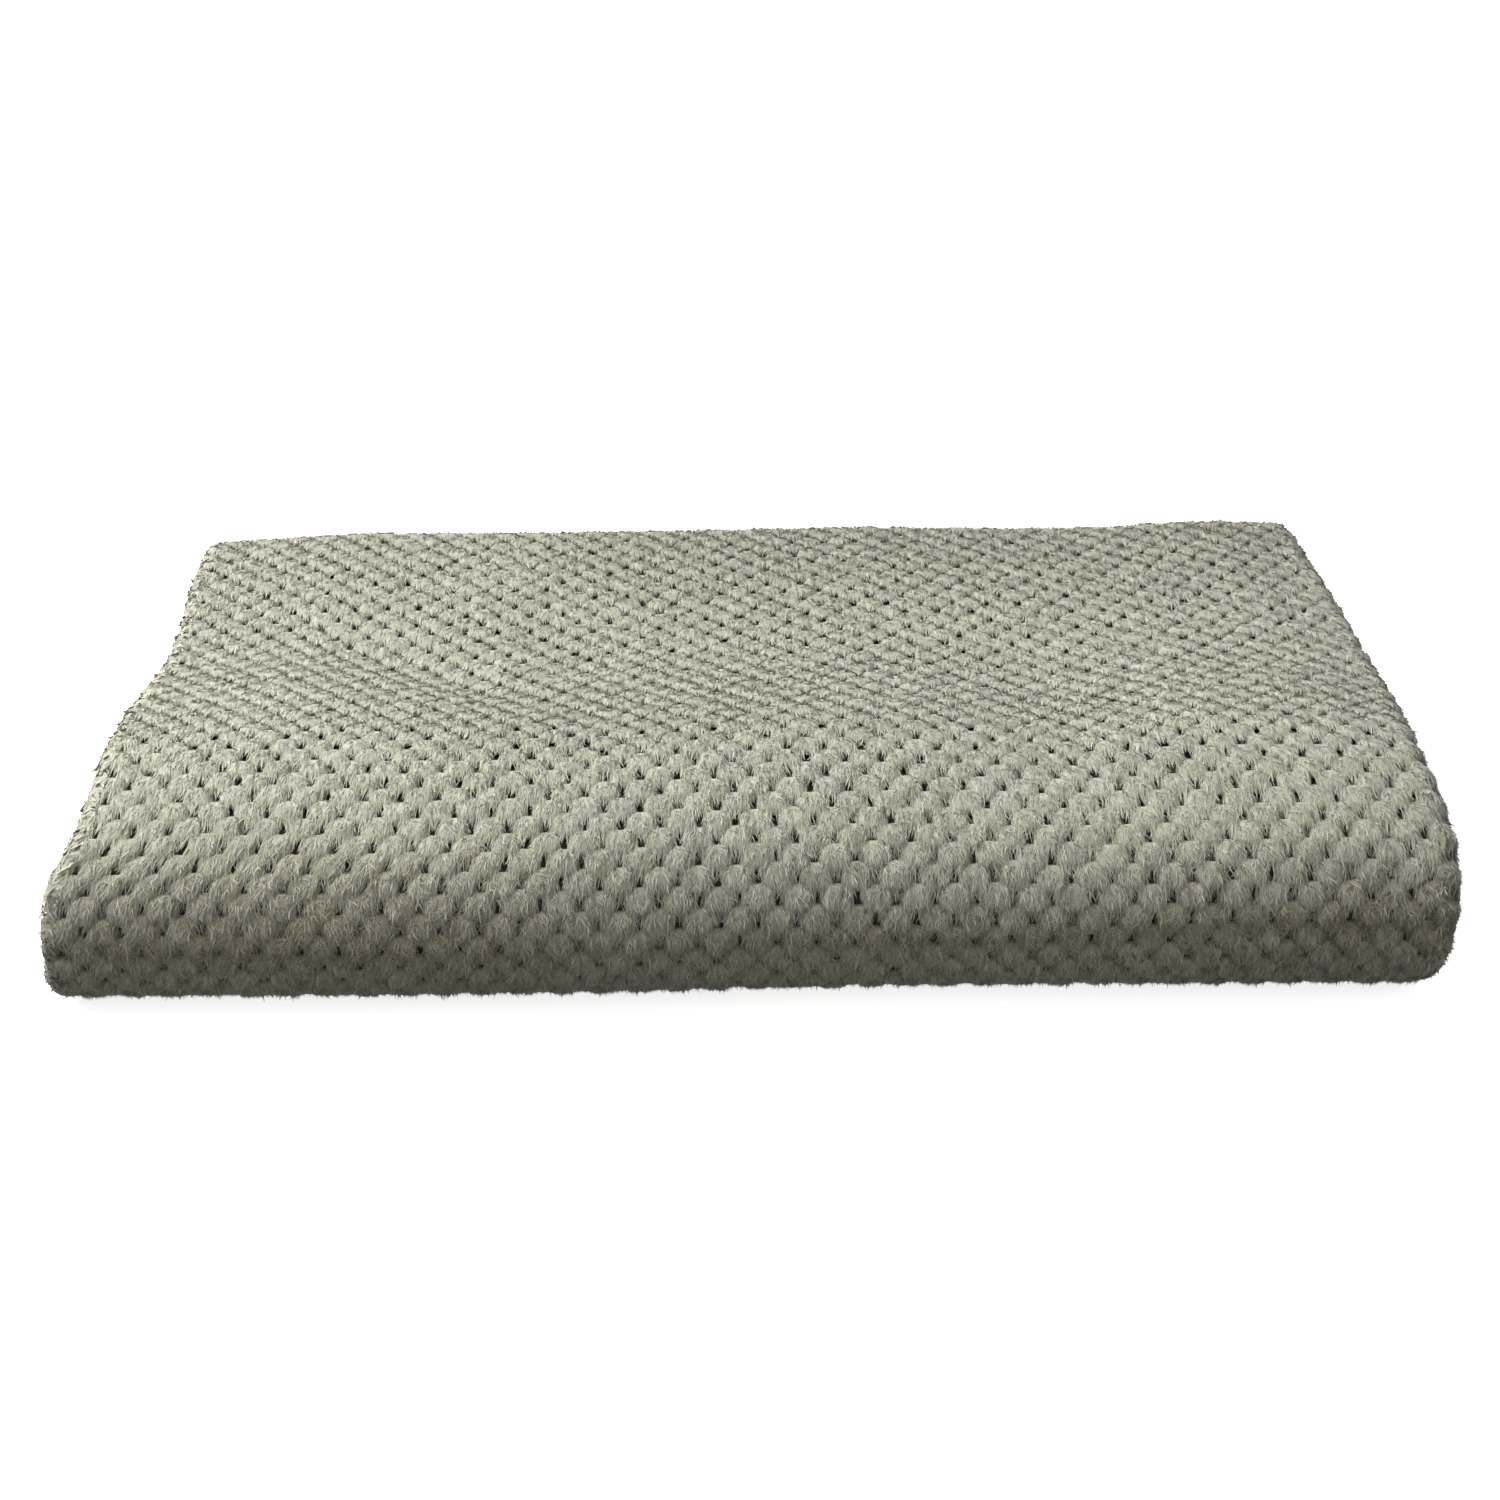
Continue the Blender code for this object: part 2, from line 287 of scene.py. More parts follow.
def make_mesh(name, points, faces, material, uv=None, values=None, flat=False):
    """A mesh object from arrays: points (n, 3), faces (m, k) or a list of such arrays, the UV of each
    point, and named numbers for each point."""
    groups = faces if isinstance(faces, list) else [faces]
    groups = [g for g in groups if len(g)]
    loops = np.concatenate([g.ravel() for g in groups]).astype(np.int32)
    sizes = np.concatenate([np.full(len(g), g.shape[1]) for g in groups])
    starts = np.concatenate([[0], np.cumsum(sizes)[:-1]]).astype(np.int32)
    mesh = bpy.data.meshes.new(name)
    mesh.vertices.add(len(points))
    mesh.vertices.foreach_set("co", points.astype(np.float32).ravel())
    mesh.loops.add(len(loops))
    mesh.loops.foreach_set("vertex_index", loops)
    mesh.polygons.add(len(starts))
    mesh.polygons.foreach_set("loop_start", starts)
    mesh.polygons.foreach_set("use_smooth", np.full(len(starts), not flat))
    if uv is not None:
        layer = mesh.uv_layers.new(name="OFBake")
        layer.data.foreach_set("uv", uv[loops].astype(np.float32).ravel())
    for key, numbers in (values or {}).items():
        attribute = mesh.attributes.new(key, "FLOAT", "POINT")
        attribute.data.foreach_set("value", numbers.astype(np.float32).ravel())
    mesh.update(calc_edges=True)
    mesh.validate()
    mesh.materials.append(material)
    thing = bpy.data.objects.new(name, mesh)
    bpy.context.scene.collection.objects.link(thing)
    return thing


def grid_faces(rows, columns, close=False):
    """The four-cornered faces of a grid of rows by columns of points; close joins the last column to
    the first."""
    index = np.arange(rows * columns).reshape(rows, columns)
    if close:
        index = np.concatenate([index, index[:, :1]], axis=1)
    low, high = index[:-1], index[1:]
    return np.stack([low[:, :-1], high[:, :-1], high[:, 1:], low[:, 1:]], axis=-1).reshape(-1, 4)


def ring_angles(around):
    """The angles of so many points spread evenly round a ring."""
    return np.arange(around) * 2 * math.pi / around


def repeated(groups, count, points):
    """Groups of faces for so many copies, each copy's numbers moved on by the points of one."""
    shift = (np.arange(count) * points)[:, None, None]
    return [(group[None] + shift).reshape(-1, group.shape[-1]) for group in groups]


def tube_faces(count, places, around):
    """The faces of so many separate closed tubes, each with its rings of points at so many places."""
    wall = grid_faces(places, around, close=True)
    ends = np.stack([np.arange(around), np.arange(around) + (places - 1) * around])
    return repeated((wall, ends), count, around * places)


def carry(piece, part):
    """Fixes a piece of one part of the strip to its body, or leaves a piece of a fold part free, its place
    baked into its mesh.
    """
    if part == "low_fold":
        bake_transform(piece)
    elif part == "high_fold":
        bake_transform(piece)
    else:
        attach(piece, {"lower": "lower_half", "upper": "upper_half"}[part])


# Materials ------------------------------------------------------------------------------------------


def start_material(name, colour, roughness, sheen, sheen_roughness=0.5):
    """A new material, and its nodes, links and shader."""
    material = bpy.data.materials.new(name)
    material.use_nodes = True
    tree = material.node_tree
    shader = tree.nodes["Principled BSDF"]
    shader.inputs["Base Color"].default_value = (*colour, 1)
    shader.inputs["Roughness"].default_value = roughness
    shader.inputs["Specular IOR Level"].default_value = 0.2
    shader.inputs["Sheen Weight"].default_value = sheen
    shader.inputs["Sheen Roughness"].default_value = sheen_roughness
    return material, tree.nodes, tree.links, shader


def add(nodes, kind, **values):
    """A node with its properties set; a value whose key is a number goes to the input at that place."""
    node = nodes.new(kind)
    for key, value in values.items():
        if key.startswith("in_"):
            node.inputs[int(key[3:])].default_value = value
        else:
            setattr(node, key, value)
    return node


def cloth_metres(nodes):
    """The piece's own UV map, whose two numbers are metres across and along the cloth."""
    return add(nodes, "ShaderNodeUVMap", uv_map="OFBake").outputs["UV"]


def streaks(nodes, links, vector, across, along, detail=3.0):
    """Noise drawn out along the cloth: one step is across metres wide and along metres long."""
    mapping = add(nodes, "ShaderNodeMapping")
    mapping.inputs["Scale"].default_value = (1 / across, 1 / along, 1)
    links.new(vector, mapping.inputs["Vector"])
    noise = add(nodes, "ShaderNodeTexNoise")
    noise.inputs["Scale"].default_value = 1.0
    noise.inputs["Detail"].default_value = detail
    links.new(mapping.outputs["Vector"], noise.inputs["Vector"])
    return noise.outputs["Fac"]


def bands(nodes, links, vector, direction, width):
    """A wave of straight bands, about a third of width apart."""
    wave = add(nodes, "ShaderNodeTexWave", wave_type="BANDS", bands_direction=direction)
    wave.inputs["Scale"].default_value = 1 / width
    links.new(vector, wave.inputs["Vector"])
    return wave


def number_at(nodes, name):
    """A number that each point of the piece carries."""
    return add(nodes, "ShaderNodeAttribute", attribute_name=name).outputs["Fac"]


def ramp(nodes, links, factor, stops):
    """Colours at places from 0 to 1, blended between them."""
    node = add(nodes, "ShaderNodeValToRGB")
    band = node.color_ramp
    while len(band.elements) < len(stops):
        band.elements.new(0.5)
    for element, (place, colour) in zip(band.elements, stops):
        element.position = place
        element.color = (*colour, 1)
    links.new(factor, node.inputs["Fac"])
    return node.outputs["Color"]


def mix(nodes, links, kind, factor, first, second):
    """Two colours mixed; each may be an output or a colour, and factor an output or a number."""
    node = add(nodes, "ShaderNodeMix", data_type="RGBA", blend_type=kind)
    for socket, value in ((0, factor), (6, first), (7, second)):
        if isinstance(value, bpy.types.NodeSocket):
            links.new(value, node.inputs[socket])
        elif socket == 0:
            node.inputs[socket].default_value = value
        else:
            node.inputs[socket].default_value = (*value, 1)
    return node.outputs[2]


def raise_surface(nodes, links, shader, height, strength, distance):
    """Bump: the surface seems to rise with height, by up to distance metres."""
    node = add(nodes, "ShaderNodeBump")
    node.inputs["Strength"].default_value = strength
    node.inputs["Distance"].default_value = distance
    links.new(height, node.inputs["Height"])
    links.new(node.outputs["Normal"], shader.inputs["Normal"])


def scaled(colour, by):
    """A colour made lighter or darker, each part no more than 1."""
    return tuple(min(1.0, c * by) for c in colour)


def tuft_material(colours):
    """Raised pile: nap streaks, painted light, and darker, browner towards the root, partly as painted
    shade.
    """
    pile, root = colours.pile[:], colours.root[:]
    material, nodes, links, shader = start_material("tuft_pile", pile, 0.95, 0.25)
    metres = cloth_metres(nodes)
    fine = streaks(nodes, links, metres, 0.00035, 0.0030, 4.0)
    broad = streaks(nodes, links, metres, 0.05, 0.07, 2.0)
    hair = ramp(nodes, links, fine, [(0.30, scaled(pile, 0.64)), (0.70, scaled(pile, 1.28))])
    patch = ramp(nodes, links, broad, [(0.35, (0.90, 0.89, 0.87)), (0.65, (1.0, 1.0, 1.0))])
    napped = mix(nodes, links, "MULTIPLY", 1.0, hair, patch)
    # Painted light and shade: the pile is darkened by up to a fifth where the painted light share is low
    stops = [(0.0, (0.80, 0.79, 0.78)), (0.5, (0.91, 0.91, 0.91)), (1.0, (1.0, 1.0, 1.0))]
    shade = ramp(nodes, links, number_at(nodes, "painted_light"), stops)
    napped = mix(nodes, links, "MULTIPLY", 1.0, napped, shade)
    # Towards the ground a pad goes to the root colour: the roots' own browner colour, darkened as painted
    # shade deep in the pile
    fade = ramp(nodes, links, number_at(nodes, "rise"), [(0.0, (0, 0, 0)), (0.28, (1, 1, 1))])
    # Browner root colour where the pile is split open, and painted shade along the crease and low on the
    # front
    napped = mix(nodes, links, "MIX", number_at(nodes, "parted_and_shade"), napped, scaled(root, 1.3))
    colour = mix(nodes, links, "MIX", fade, root, napped)
    links.new(colour, shader.inputs["Base Color"])
    raise_surface(nodes, links, shader, fine, 0.6, 0.0004)
    return material


def fibre_material(colours):
    """Single fibres: the map's first number is the fibre's tint, its second runs from root to tip."""
    pile, root = colours.pile[:], colours.root[:]
    material, nodes, links, shader = start_material("pile_fibre", pile, 0.9, 0.3)
    uv = add(nodes, "ShaderNodeUVMap", uv_map="OFBake")
    parts = add(nodes, "ShaderNodeSeparateXYZ")
    links.new(uv.outputs["UV"], parts.inputs["Vector"])
    stops = [
        (0.0, root),
        (0.25, scaled(pile, 0.72)),
        (0.55, pile),
        (1.0, scaled(pile, 1.30)),
    ]
    tint = ramp(nodes, links, parts.outputs["X"], stops)
    # Each fibre goes darker and browner towards its root: partly its own colour, partly painted shade deep
    # in the pile
    tip = ramp(nodes, links, parts.outputs["Y"], [(0.0, (0.70, 0.63, 0.54)), (0.6, (1.0, 1.0, 1.0))])
    colour = mix(nodes, links, "MULTIPLY", 1.0, tint, tip)
    links.new(colour, shader.inputs["Base Color"])
    return material


def ground_material(colours):
    """Knitted ground: fine wales along the cloth, each a row of loops."""
    ground = colours.ground[:]
    material, nodes, links, shader = start_material("knitted_ground", ground, 0.95, 0.1)
    metres = cloth_metres(nodes)
    wales = bands(nodes, links, metres, "Y", 0.0009)
    wales.inputs["Distortion"].default_value = 0.6
    fine = streaks(nodes, links, metres, 0.0003, 0.0003, 3.0)
    stops = [(0.2, scaled(ground, 0.55)), (0.8, scaled(ground, 1.2))]
    band = ramp(nodes, links, wales.outputs["Fac"], stops)
    speck = ramp(nodes, links, fine, [(0.3, (0.75, 0.75, 0.75)), (0.7, (1.0, 1.0, 1.0))])
    links.new(mix(nodes, links, "MULTIPLY", 1.0, band, speck), shader.inputs["Base Color"])
    raise_surface(nodes, links, shader, wales.outputs["Fac"], 0.5, 0.0003)
    return material


def hem_material(colours):
    """Pressed pile of a turned edge."""
    hem = colours.hem[:]
    material, nodes, links, shader = start_material("pressed_hem", hem, 0.95, 0.2)
    metres = cloth_metres(nodes)
    fine = streaks(nodes, links, metres, 0.0004, 0.0020, 4.0)
    broad = streaks(nodes, links, metres, 0.006, 0.009, 2.0)
    hair = ramp(nodes, links, fine, [(0.3, scaled(hem, 0.6)), (0.7, scaled(hem, 1.2))])
    patch = ramp(nodes, links, broad, [(0.35, (0.78, 0.78, 0.76)), (0.65, (1.0, 1.0, 1.0))])
    links.new(mix(nodes, links, "MULTIPLY", 1.0, hair, patch), shader.inputs["Base Color"])
    raise_surface(nodes, links, shader, fine, 0.7, 0.0005)
    return material


def thread_material(colours):
    """Twisted sewing thread: fine slanting plies."""
    thread = colours.thread[:]
    material, nodes, links, shader = start_material("seam_thread", thread, 0.6, 0.3)
    place = add(nodes, "ShaderNodeTexCoord")
    twist = bands(nodes, links, place.outputs["Object"], "DIAGONAL", 0.0012)
    stops = [(0.2, scaled(thread, 0.65)), (0.8, scaled(thread, 1.1))]
    links.new(ramp(nodes, links, twist.outputs["Fac"], stops), shader.inputs["Base Color"])
    raise_surface(nodes, links, shader, twist.outputs["Fac"], 0.5, 0.0001)
    return material


def label_material(colours):
    """Blank satin tape: a close weave with a soft shine along it."""
    label = colours.label[:]
    material, nodes, links, shader = start_material("label_satin", label, 0.42, 0.15)
    metres = cloth_metres(nodes)
    weft = bands(nodes, links, metres, "Y", 0.0010)
    warp = streaks(nodes, links, metres, 0.00025, 0.004, 2.0)
    stops = [(0.0, scaled(label, 0.90)), (1.0, label)]
    band = ramp(nodes, links, weft.outputs["Fac"], stops)
    thread = ramp(nodes, links, warp, [(0.3, (0.90, 0.90, 0.90)), (0.7, (1, 1, 1))])
    links.new(mix(nodes, links, "MULTIPLY", 1.0, band, thread), shader.inputs["Base Color"])
    raise_surface(nodes, links, shader, weft.outputs["Fac"], 0.3, 0.0001)
    return material


def floor_material(colours):
    """Matt pale paper."""
    floor = colours.floor[:]
    material, nodes, links, shader = start_material("pale_floor", floor, 0.9, 0.0)
    place = add(nodes, "ShaderNodeTexCoord")
    noise = add(nodes, "ShaderNodeTexNoise")
    noise.inputs["Scale"].default_value = 1.5
    links.new(place.outputs["Object"], noise.inputs["Vector"])
    stops = [(0.3, scaled(floor, 0.985)), (0.7, floor)]
    links.new(ramp(nodes, links, noise.outputs["Fac"], stops), shader.inputs["Base Color"])
    shader.inputs["Emission Color"].default_value = (1.0, 1.0, 1.0, 1)
    shader.inputs["Emission Strength"].default_value = FLOOR_GLOW
    return material


# Pieces ---------------------------------------------------------------------------------------------


def steps_along(ends, runs, low, high, straight, angle):
    """Distances from low to high along the runs, about straight apart on straights and angle apart, in
    radians, on bends, with the ends of the runs among them."""
    found = [low]
    for start, end, turn in zip(ends[:-1], ends[1:], runs[:, 1]):
        first, last = max(start, low), min(end, high)
        if last - first > 1e-6:
            step = angle / turn if turn else straight
            count = max(1, math.ceil((last - first) / step))
            found.extend(np.linspace(first, last, count + 1)[1:])
    return np.array(found)


def make_cloth(part, material):
    """One part of the knitted ground: a grid of cloth coordinates at no lift, given its thickness."""
    low, high = PARTS[part]
    u = steps_along(SECTION_ENDS, SECTION, 0.0, CLOTH_WIDTH, 0.012, math.radians(22))
    s = steps_along(STRIP_ENDS, STRIP, low, high, 0.010, math.radians(7))
    across, along = np.meshgrid(u, s)
    points, uv = cloth_grid(across, along, np.zeros_like(across))
    piece = make_mesh(f"{part}_cloth", points, grid_faces(len(s), len(u)), material, uv)
    wall = piece.modifiers.new("thickness", "SOLIDIFY")
    wall.thickness = GROUND_THICKNESS
    wall.offset = 0.0
    carry(piece, part)
    return piece


class TuftField:
    """The tufts of one part of the strip: their centres in cloth coordinates, and their own sizes."""

    def __init__(self, part, u, s, sizes, draw):
        self.part = part
        count = len(u)
        self.u = u + draw.normal(0, 0.00022, count)
        self.s = s + draw.normal(0, 0.00022, count)
        open_face = open_share(self.u, self.s)
        grow = 1 + draw.normal(0, 0.035, count)
        self.open = open_face
        self.half_width = sizes.tuft_width / 2 * grow
        self.half_length = sizes.tuft_length / 2 * grow
        pressed = 0.80 + 0.20 * open_face
        self.height = sizes.tuft_height * pressed * (1 + draw.normal(0, 0.03, count))
        self.lean = 0.0006 * (1 + draw.normal(0, 0.5, count))
        # Pile split open, with painted shade along the crease and low on the front
        self.parted_and_shade = parted_and_shade_share(self.u, self.s)
        # Painted light and shade for each tuft: lighter where the light falls, darker where it falls off
        self.painted_light = painted_light_share(self.u, self.s)

    def pick(self, keep):
        """A field of only the tufts at these places."""
        field = object.__new__(TuftField)
        field.part = self.part
        for name, values in vars(self).items():
            if name != "part":
                setattr(field, name, values[keep])
        return field


def open_share(u, s):
    """1 where the pile stands free, on the outside of the top, front and back, and 0 where it is
    pressed, on the underside and between the panels."""
    outside = (u > CENTRE_FROM - 0.02) & (u < CENTRE_TO + 0.01)
    top = smooth(s, STRIP_ENDS[3] + 0.002, STRIP_ENDS[3] + 0.012)
    top = top * (1 - smooth(s, STRIP_ENDS[8] - 0.008, STRIP_ENDS[8]))
    low_back = smooth(s, STRIP_ENDS[1], STRIP_ENDS[1] + 0.008)
    low_back = low_back * (1 - smooth(s, STRIP_ENDS[2] - 0.008, STRIP_ENDS[2]))
    return np.where(outside, np.maximum(top, low_back), 0.0)


def parted_and_shade_share(u, s):
    """How far the pile is split open to show its browner roots, with painted shade: along the crease of
    the front, partly painted shade, low on its left, and a little all over its lower half, as painted
    shade."""
    x, y, z = np.moveaxis(cloth_point(u, s, np.zeros_like(u)), -1, 0)
    front = 1 - smooth(y, FRONT + 0.020, FRONT + 0.035)
    front = np.where((u > CENTRE_FROM - 0.01) & (u < CENTRE_TO + 0.01), front, 0.0)
    crease = (0.35 + 0.25 * smooth(x, -0.02, 0.06)) * bump(z, crease_height(x) + 0.001, 0.0065)
    low_left = 0.6 * bump(x, -0.13, 0.075) * bump(z, 0.030, 0.014)
    # Painted shade: the whole lower part of the front goes browner and darker
    low = 0.24 * (1 - smooth(z, 0.044, 0.064))
    return front * np.clip(crease + low_left + low, 0, 1)


def painted_light_share(u, s):
    """How much painted light the pile gets, from -1, painted shade, to 1, painted highlight: hills of
    painted light over the left and right of the top, less painted shade along the back's middle and right
    and low on the front's right."""
    x, y, z = np.moveaxis(cloth_point(u, s, np.zeros_like(u)), -1, 0)
    back = y - FRONT
    light = bump(x, -0.17, 0.07) * bump(back, 0.10, 0.08)
    light = light + 0.5 * bump(x, 0.15, 0.05) * bump(back, 0.09, 0.06)
    dark = smooth(x, -0.12, 0.0) * smooth(back, 0.16, 0.26)
    low_right = smooth(x, 0.08, 0.17) * (1 - smooth(back, 0.02, 0.04)) * (1 - smooth(z, 0.035, 0.055))
    return np.clip(light - dark - low_right, -1, 1)


def shows(u, s):
    """Whether a tuft there can be seen when the throw lies closed or open."""
    outside = (u > CENTRE_FROM - 0.008) & (u < CENTRE_TO + 0.008)
    x_side = np.minimum(np.abs(u - SECTION_ENDS[1]), np.abs(u - SECTION_ENDS[0]))
    beside = x_side < 0.026
    pocket = (u < SECTION_ENDS[1]) & (s > STRIP_ENDS[3] - 0.020) & (s < STRIP_ENDS[6] + 0.020)
    beside = beside | ((u > CENTRE_TO) & (u < CENTRE_TO + 0.022))
    return outside | beside | pocket


def lay_tufts(sizes):
    """Every tuft that can show. They stand in rows along the strip, every second row half a pitch over."""
    rows = np.arange(0.5, CLOTH_LENGTH / sizes.row_spacing) * sizes.row_spacing
    columns = np.arange(-1, CLOTH_WIDTH / sizes.tuft_pitch + 1) * sizes.tuft_pitch
    s, u = np.meshgrid(rows, columns, indexing="ij")
    u = u + np.where(np.arange(len(rows)) % 2, sizes.tuft_pitch / 2, 0.0)[:, None] + 0.003
    u, s = u.ravel(), s.ravel()
    edge = sizes.hem_width + 0.004
    keep = (u > edge) & (u < CLOTH_WIDTH - edge) & (s > edge) & (s < CLOTH_LENGTH - edge)
    keep &= shows(u, s)
    u, s = u[keep], s[keep]
    fields = {}
    for number, (part, (low, high)) in enumerate(PARTS.items()):
        inside = (s >= low) & (s < high)
        draw = np.random.default_rng(100 + number)
        fields[part] = TuftField(part, u[inside], s[inside], sizes, draw)
    return fields


def outline(turn):
    """A tuft's rounded square outline: the cosine and sine raised to the power 0.7, signs kept."""
    first, second = np.cos(turn), np.sin(turn)
    return np.sign(first) * np.abs(first) ** 0.7, np.sign(second) * np.abs(second) ** 0.7


def crown(off_u, off_s):
    """A tuft's height there as a share of its full height: the square root of one less the 4.5th power of
    the distance out, tipped up along the nap, above a rim that stands clear of the ground at both ends
    and meets it at the sides."""
    reach = (np.abs(off_u) ** 2.86 + np.abs(off_s) ** 2.86) ** 0.35
    top = (1 - np.clip(reach, 0, 1) ** 4.5) ** 0.5
    rim = 0.55 * np.clip(-off_s, 0, 1) + 0.45 * np.clip(off_s, 0, 1)
    return top * (1 - 0.10 * off_s) * (1 - rim) + rim


def make_tufts(name, field, material):
    """Pads, each of three rings round its top and closed below. A ring's points lie on a rounded square,
    and the upper ones lean along the nap."""
    around = 10
    rings = np.array([0.60, 0.89, 1.0])
    angle = ring_angles(around)
    reach = np.concatenate([[0.0], np.repeat(rings, around)])
    out_u, out_s = outline(np.concatenate([[0.0], np.tile(angle, len(rings))]))
    high = crown(reach * out_u, reach * out_s)
    u = field.u[:, None] + field.half_width[:, None] * reach * out_u
    s = field.s[:, None] + field.half_length[:, None] * reach * out_s
    s = s - field.lean[:, None] * high
    points, uv = cloth_grid(u, s, PILE_BASE + field.height[:, None] * high)
    ring = np.arange(around)
    after = (ring + 1) % around
    cap = np.stack([np.zeros(around, int), 1 + after, 1 + ring], axis=-1)
    walls = []
    for step in range(len(rings) - 1):
        inner, outer = 1 + step * around, 1 + (step + 1) * around
        walls.append(np.stack([inner + ring, inner + after, outer + after, outer + ring], axis=-1))
    wall = np.concatenate(walls)
    base = (1 + (len(rings) - 1) * around + ring)[None, :]
    faces = repeated((cap, wall, base), len(field.u), len(reach))
    # Each pad's points carry its painted light share, and its share of pile split open with painted shade
    parted_and_shade, painted_light = field.parted_and_shade[:, None], 0.5 + 0.5 * field.painted_light[:, None]
    values = {"rise": high + 0 * u, "parted_and_shade": parted_and_shade + 0 * u, "painted_light": painted_light + 0 * u}
    piece = make_mesh(name, points, faces, material, uv, values)
    carry(piece, field.part)
    return piece


def make_fibres(name, field, per_tuft, sizes, material, draw):
    """Fibres, each a narrow triangle. The roots spread evenly over a tuft, out to the square root of an
    even draw. A tip lies one length further along the nap, just above the crown there."""
    shape = (len(field.u), per_tuft)
    wide, long, tall = (a[:, None] for a in (field.half_width, field.half_length, field.height))
    loose = field.open[:, None]
    reach = np.sqrt(draw.random(shape)) * 0.99
    out_u, out_s = outline(draw.random(shape) * 2 * math.pi)
    off_u, off_s = reach * out_u, reach * out_s
    parted_and_shade = field.parted_and_shade[:, None]
    lock = (np.floor((off_u + 1) * 7.5) + 16 * np.floor((off_s + 1) * 1.5)).astype(int)
    row = np.arange(shape[0])[:, None]
    lock_tint, lock_way, lock_stand = (draw.normal(0, 1, (shape[0], 64))[row, lock] for _ in range(3))
    length = sizes.fibre_length * (0.55 + 0.75 * draw.random(shape))
    way = (0.20 * lock_way + draw.normal(0, 0.20, shape)) * (1 - 0.6 * off_u**2) * (1 + 2.0 * parted_and_shade)
    run_u = length * (np.sin(way) + 0.12 * off_u)
    run_s = -length * (np.cos(way) - 0.45 * off_s)
    tip_u, tip_s = off_u + run_u / wide, off_s + run_s / long
    root_lift = PILE_BASE + tall * crown(off_u, off_s)
    stand = 0.00050 + 0.00020 * lock_stand + 0.0004 * draw.random(shape) ** 2
    stand = stand + 0.0013 * np.clip(draw.random(shape) - 0.88, 0, 1) / 0.12
    stand = np.maximum(stand, 0.0001) * (0.30 + 0.70 * loose)
    tip_lift = tall * np.maximum(crown(tip_u, tip_s), 0.62) + PILE_BASE + stand
    half = sizes.fibre_width / 2 * (0.7 + 0.6 * draw.random(shape))
    size = np.hypot(run_u, run_s) + 1e-9
    side_u, side_s = -run_s / size * half, run_u / size * half
    lean = field.lean[:, None] * crown(off_u, off_s)
    u0 = field.u[:, None] + wide * off_u
    s0 = field.s[:, None] + long * off_s - lean
    u = np.stack([u0 - side_u, u0 + side_u, u0 + run_u], axis=-1)
    s = np.stack([s0 - side_s, s0 + side_s, s0 + run_s], axis=-1)
    lift = np.stack([root_lift, root_lift, tip_lift], axis=-1)
    points = cloth_point(u, s, lift).reshape(-1, 3)
    faces = np.arange(len(points)).reshape(-1, 3)
    tint = 0.52 + 0.23 * lock_tint + 0.08 * draw.normal(0, 1, shape)
    # Painted light and shade: a fibre's tint rises and falls with the painted light share
    tint = tint + 0.15 * field.painted_light[:, None]
    # Painted shade: fibres rooted low on a tuft, deep in the pile, and pressed fibres, under and between
    # the plies, are darker
    tint = tint - 0.20 * np.clip(1 - root_lift / tall, 0, 1) - 0.10 * (1 - loose)
    tint = np.clip(tint, 0.02, 0.98)
    tint = np.repeat(tint[..., None], 3, axis=-1).reshape(-1)
    # Fibres take colour nearer the root where the pile is split open, and as painted shade low on the
    # front
    along = (np.array([0.0, 0.0, 1.0]) * (1 - 0.75 * parted_and_shade[..., None]) + 0 * u).reshape(-1)
    uv = np.stack([tint, np.clip(along, 0.02, 0.98)], axis=-1)
    piece = make_mesh(name, points, faces, material, uv, flat=True)
    carry(piece, field.part)
    return piece


def make_band(u_low, u_high, s_low, s_high, thick, along_strip=True):
    """A hem: a flat oval section carried along its edge. The section is a circle whose two coordinates
    are raised to the power 0.45, and the band's ends are closed by shrinking it to a line."""
    around = 16
    angle = ring_angles(around)
    cosine, sine = np.cos(angle), np.sin(angle)
    flat = np.sign(cosine) * np.abs(cosine) ** 0.45
    tall = np.sign(sine) * np.abs(sine) ** 0.45
    if along_strip:
        path = steps_along(STRIP_ENDS, STRIP, s_low, s_high, 0.010, math.radians(10))
        s = np.broadcast_to(path[:, None], (len(path), around))
        u = (u_low + u_high) / 2 + (u_high - u_low) / 2 * np.broadcast_to(flat, s.shape)
    else:
        path = steps_along(SECTION_ENDS, SECTION, u_low, u_high, 0.010, math.radians(22))
        u = np.broadcast_to(path[:, None], (len(path), around))
        s = (s_low + s_high) / 2 + (s_high - s_low) / 2 * np.broadcast_to(flat, u.shape)
    points, uv = cloth_grid(u, s, HEM_LIFT + thick / 2 * np.broadcast_to(tall, u.shape))
    faces = grid_faces(len(path), around, close=True)
    ends = np.stack([np.arange(around), np.arange(around)[::-1] + (len(path) - 1) * around])
    if along_strip:
        faces = faces[:, ::-1]
    else:
        ends = ends[:, ::-1]
    return points, uv, [faces, ends]


def join_parts(parts):
    """Several (points, uv, faces) in one, the faces' numbers moved on."""
    points, uv, faces, count = [], [], [], 0
    for some_points, some_uv, some_faces in parts:
        points.append(some_points)
        uv.append(some_uv)
        faces.extend(group + count for group in some_faces)
        count += len(some_points)
    return np.concatenate(points), np.concatenate(uv), faces


def make_trim(name, part, shape, material):
    """A hem or seam from its points, UV and faces, turned outwards and fixed to its part of the strip."""
    points, uv, faces = shape
    piece = make_mesh(name, points, faces, material, uv)
    outward(piece)
    carry(piece, part)
    LAID["trim"][part].append(piece)
    return piece


def outward(piece):
    """Turns every closed shell of the piece to face outwards."""
    shape = bmesh.new()
    shape.from_mesh(piece.data)
    bmesh.ops.recalc_face_normals(shape, faces=shape.faces[:])
    shape.to_mesh(piece.data)
    shape.free()


